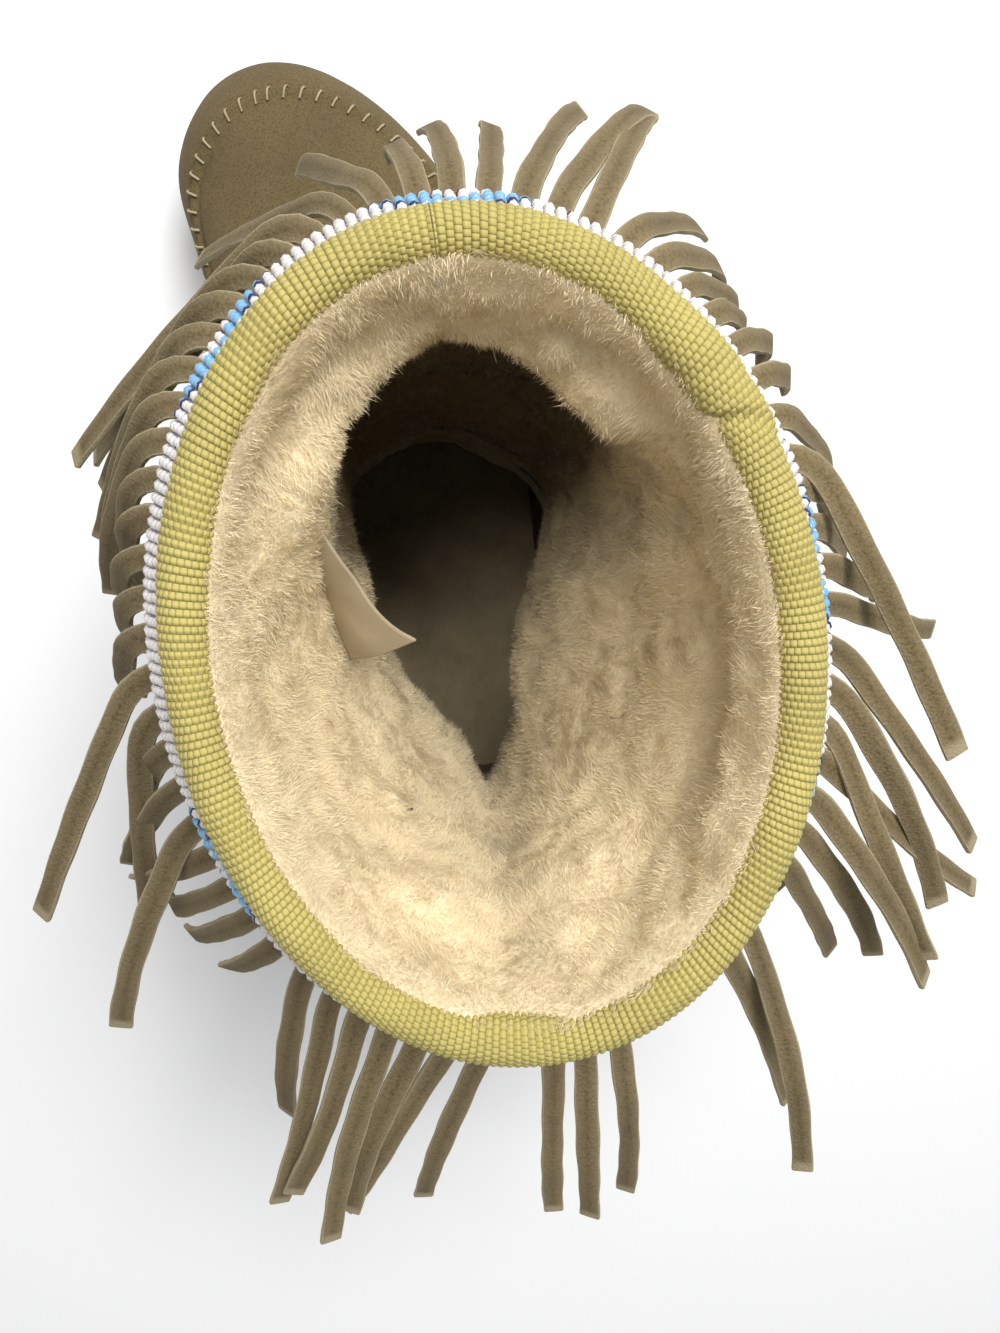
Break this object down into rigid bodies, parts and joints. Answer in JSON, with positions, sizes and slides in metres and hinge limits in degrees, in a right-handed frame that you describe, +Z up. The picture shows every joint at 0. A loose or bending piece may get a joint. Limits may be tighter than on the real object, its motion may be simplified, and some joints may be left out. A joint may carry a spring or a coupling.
{
  "type": "mukluk boot",
  "caption": "Pull-on shearling-lined suede boot with lugged rubber sole, beaded band below a bound collar, and long suede fringe round the shaft.",
  "frame": {"origin": "on the heel's flat, under the middle of the heel", "axes": "+Z up, toe towards -Y, the wearer's left towards +X"},
  "size_m": [0.2539, 0.3546, 0.25],
  "materials": {
    "outsole": "matt moulded rubber",
    "shearling": "cream wool pile",
    "suede": "brushed tan suede",
    "binding": "ribbed woven tape",
    "beads": "glossy opaque seed beads"
  },
  "bodies": {
    "root": {"outsole": "outsole", "insole": "shearling", "upper": "suede", "collar_binding": "binding", "beaded_band": "beads", "fringe": "suede"}
  },
  "joints": []
}
